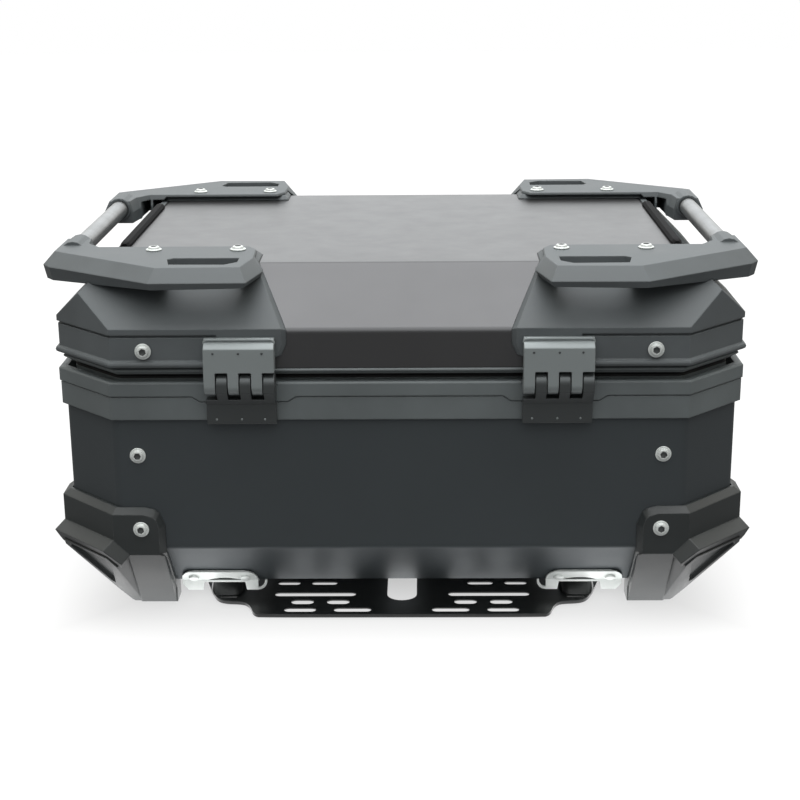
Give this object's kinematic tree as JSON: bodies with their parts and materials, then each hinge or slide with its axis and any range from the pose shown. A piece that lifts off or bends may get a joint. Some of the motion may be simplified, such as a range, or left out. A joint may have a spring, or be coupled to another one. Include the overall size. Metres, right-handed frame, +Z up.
{
  "type": "motorcycle top case",
  "caption": "Hard-shell motorcycle top case with a hinged lid, corner covers, side handle tubes, corner guards, a rear lock and a slotted base plate with a catch.",
  "frame": {"origin": "centre of the flat underside of the base plate, on the case's plane of symmetry", "axes": "+Z up, +X to the right when facing the hinge side, +Y away from the hinge side towards the lock"},
  "size_m": [0.613, 0.497, 0.3212],
  "materials": {
    "body_aluminium": "fine-textured powder coat over aluminium sheet",
    "lid_aluminium": "satin metallic coat over aluminium sheet",
    "moulded_plastic": "fine-grained moulded nylon",
    "guard_plastic": "grained moulded nylon, black",
    "hinge_metal": "black satin coat on cast metal",
    "plated_steel": "bright zinc plate or plain stainless",
    "tube_aluminium": "satin anodised tube",
    "black_steel": "black powder coat on steel sheet",
    "rubber": "matt black rubber",
    "webbing": "woven black strap"
  },
  "bodies": {
    "case": {"body_shell": "body_aluminium", "body_rim": "moulded_plastic", "rim_seal": "rubber", "floor_mat": "rubber", "corner_guard_front_left": "guard_plastic", "corner_guard_front_right": "guard_plastic", "corner_guard_rear_left": "guard_plastic", "corner_guard_rear_right": "guard_plastic", "body_screw_front_left": "plated_steel", "body_screw_front_right": "plated_steel", "body_screw_rear_left": "plated_steel", "body_screw_rear_right": "plated_steel", "guard_screw_front_left": "plated_steel", "guard_screw_front_right": "plated_steel", "guard_screw_rear_left": "plated_steel", "guard_screw_rear_right": "plated_steel", "plate_clip_left": "plated_steel", "plate_clip_right": "plated_steel", "lock_housing": "moulded_plastic", "catch_housing": "moulded_plastic", "base_plate": "black_steel", "lid_stay_left": "webbing", "lid_stay_right": "webbing", "hinge_lower_leaf_left": "hinge_metal", "hinge_lower_leaf_right": "hinge_metal", "hinge_pin_left": "plated_steel", "hinge_pin_right": "plated_steel"},
    "lid": {"lid_skin": "lid_aluminium", "lid_frame": "moulded_plastic", "lid_cover_front_left": "moulded_plastic", "lid_cover_front_right": "moulded_plastic", "lid_cover_rear_left": "moulded_plastic", "lid_cover_rear_right": "moulded_plastic", "handle_bracket_front_left": "moulded_plastic", "handle_bracket_front_right": "moulded_plastic", "handle_bracket_rear_left": "moulded_plastic", "handle_bracket_rear_right": "moulded_plastic", "side_strip_left": "guard_plastic", "side_strip_right": "guard_plastic", "handle_tube_left": "tube_aluminium", "handle_tube_right": "tube_aluminium", "cover_screw_front_left": "plated_steel", "cover_screw_front_right": "plated_steel", "cover_screw_rear_left": "plated_steel", "cover_screw_rear_right": "plated_steel", "bracket_screw_inner_front_left": "plated_steel", "bracket_screw_inner_front_right": "plated_steel", "bracket_screw_inner_rear_left": "plated_steel", "bracket_screw_inner_rear_right": "plated_steel", "bracket_screw_outer_front_left": "plated_steel", "bracket_screw_outer_front_right": "plated_steel", "bracket_screw_outer_rear_left": "plated_steel", "bracket_screw_outer_rear_right": "plated_steel", "hinge_upper_leaf_left": "hinge_metal", "hinge_upper_leaf_right": "hinge_metal", "lock_striker": "plated_steel"},
    "key": {"key_barrel": "plated_steel", "lock_cam": "plated_steel"},
    "lever": {"release_lever": "guard_plastic"},
    "bolt": {"release_bolt": "plated_steel"}
  },
  "joints": [
    {"name": "lid_hinge", "type": "hinge", "parent": "case", "child": "lid", "pos_m": [0, -0.236, 0.222], "axis": [1, 0, 0], "range_deg": [0, 95]},
    {"name": "key_turn", "type": "hinge", "parent": "case", "child": "key", "pos_m": [0, 0.25, 0.19], "axis": [0, -1, 0], "range_deg": [0, 90]},
    {"name": "lever_pull", "type": "hinge", "parent": "case", "child": "lever", "pos_m": [0, 0.215, 0.054], "axis": [1, 0, 0], "range_deg": [0, 25]},
    {"name": "bolt_draw", "type": "slide", "parent": "case", "child": "bolt", "axis": [0, 1, 0], "range_m": [0, 0.008]}
  ],
  "couplings": [
    {"joint": "lever_pull", "follows": "bolt_draw", "rad_per_m": 54.5}
  ]
}
